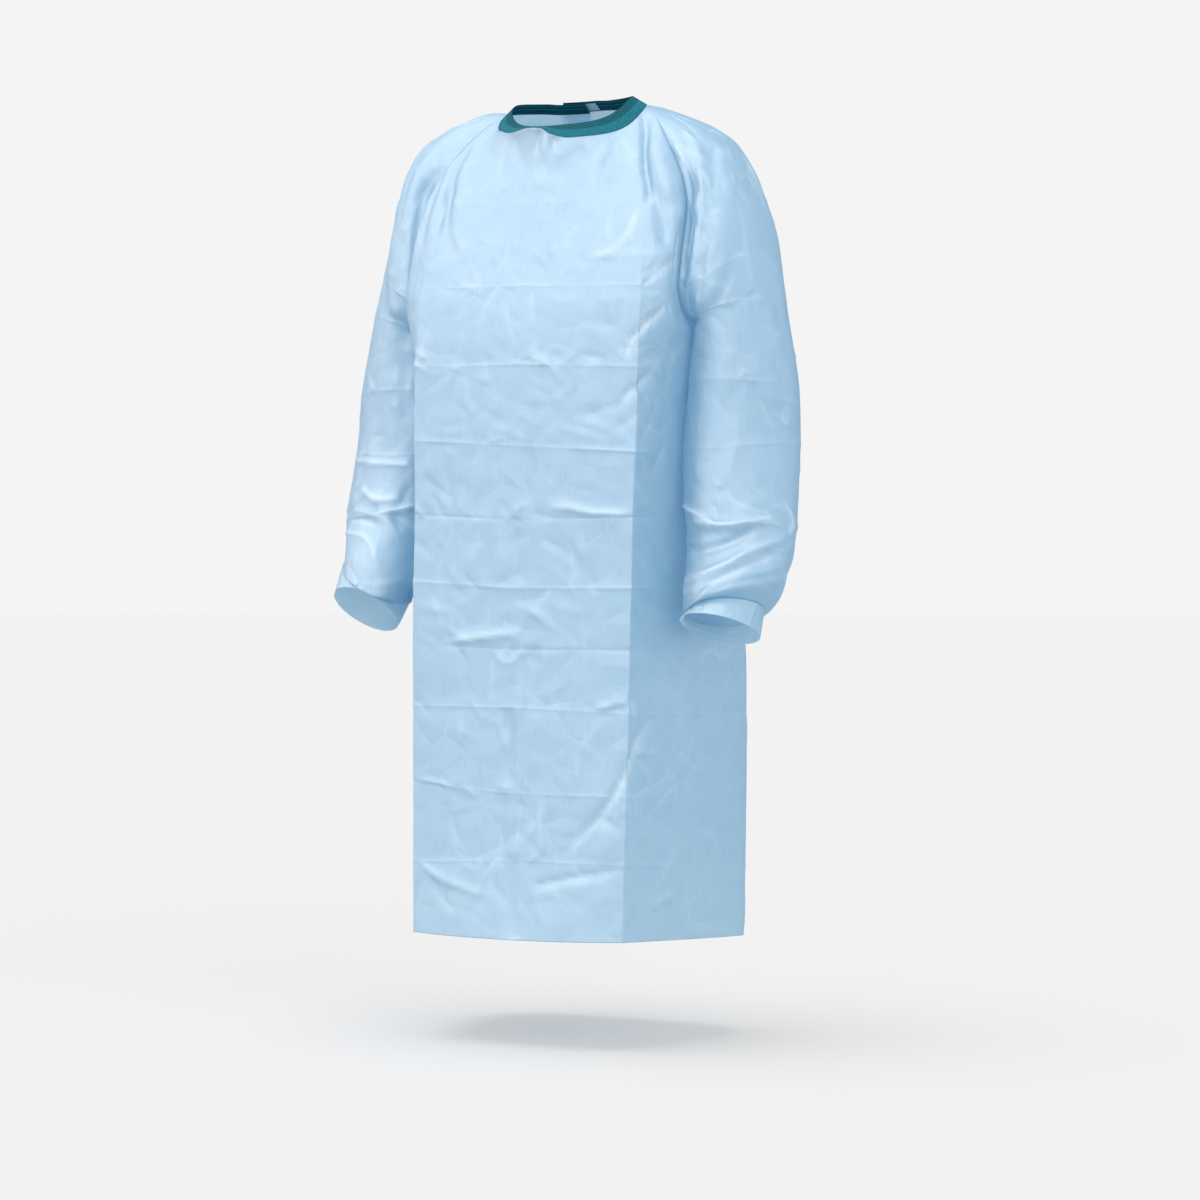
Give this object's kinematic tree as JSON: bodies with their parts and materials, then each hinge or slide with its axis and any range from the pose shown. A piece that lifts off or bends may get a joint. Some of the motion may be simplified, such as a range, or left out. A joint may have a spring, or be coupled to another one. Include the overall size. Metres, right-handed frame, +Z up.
{
  "type": "isolation gown",
  "caption": "Long loose gown with raglan sleeves, bound round neck and an open back lapped and held by a hook-and-loop patch; covers the wearer's front, arms and back.",
  "frame": {"origin": "middle of the neck opening, level with the neck seam between its high back and low front", "axes": "+Z up, +X to the wearer's left, +Y towards the open back"},
  "size_m": [0.6928, 0.3646, 1.1631],
  "materials": {
    "cloth": "thin nonwoven with a smooth film face",
    "binding": "matte knitted bias tape",
    "patch": "hook and loop tape"
  },
  "bodies": {
    "root": {"front_panel": "cloth", "back_panel_left": "cloth", "back_panel_right": "cloth", "sleeve_left": "cloth", "sleeve_right": "cloth", "cuff_left": "cloth", "cuff_right": "cloth", "neck_binding": "binding", "loop_patch": "patch", "hook_patch": "patch"}
  },
  "joints": []
}
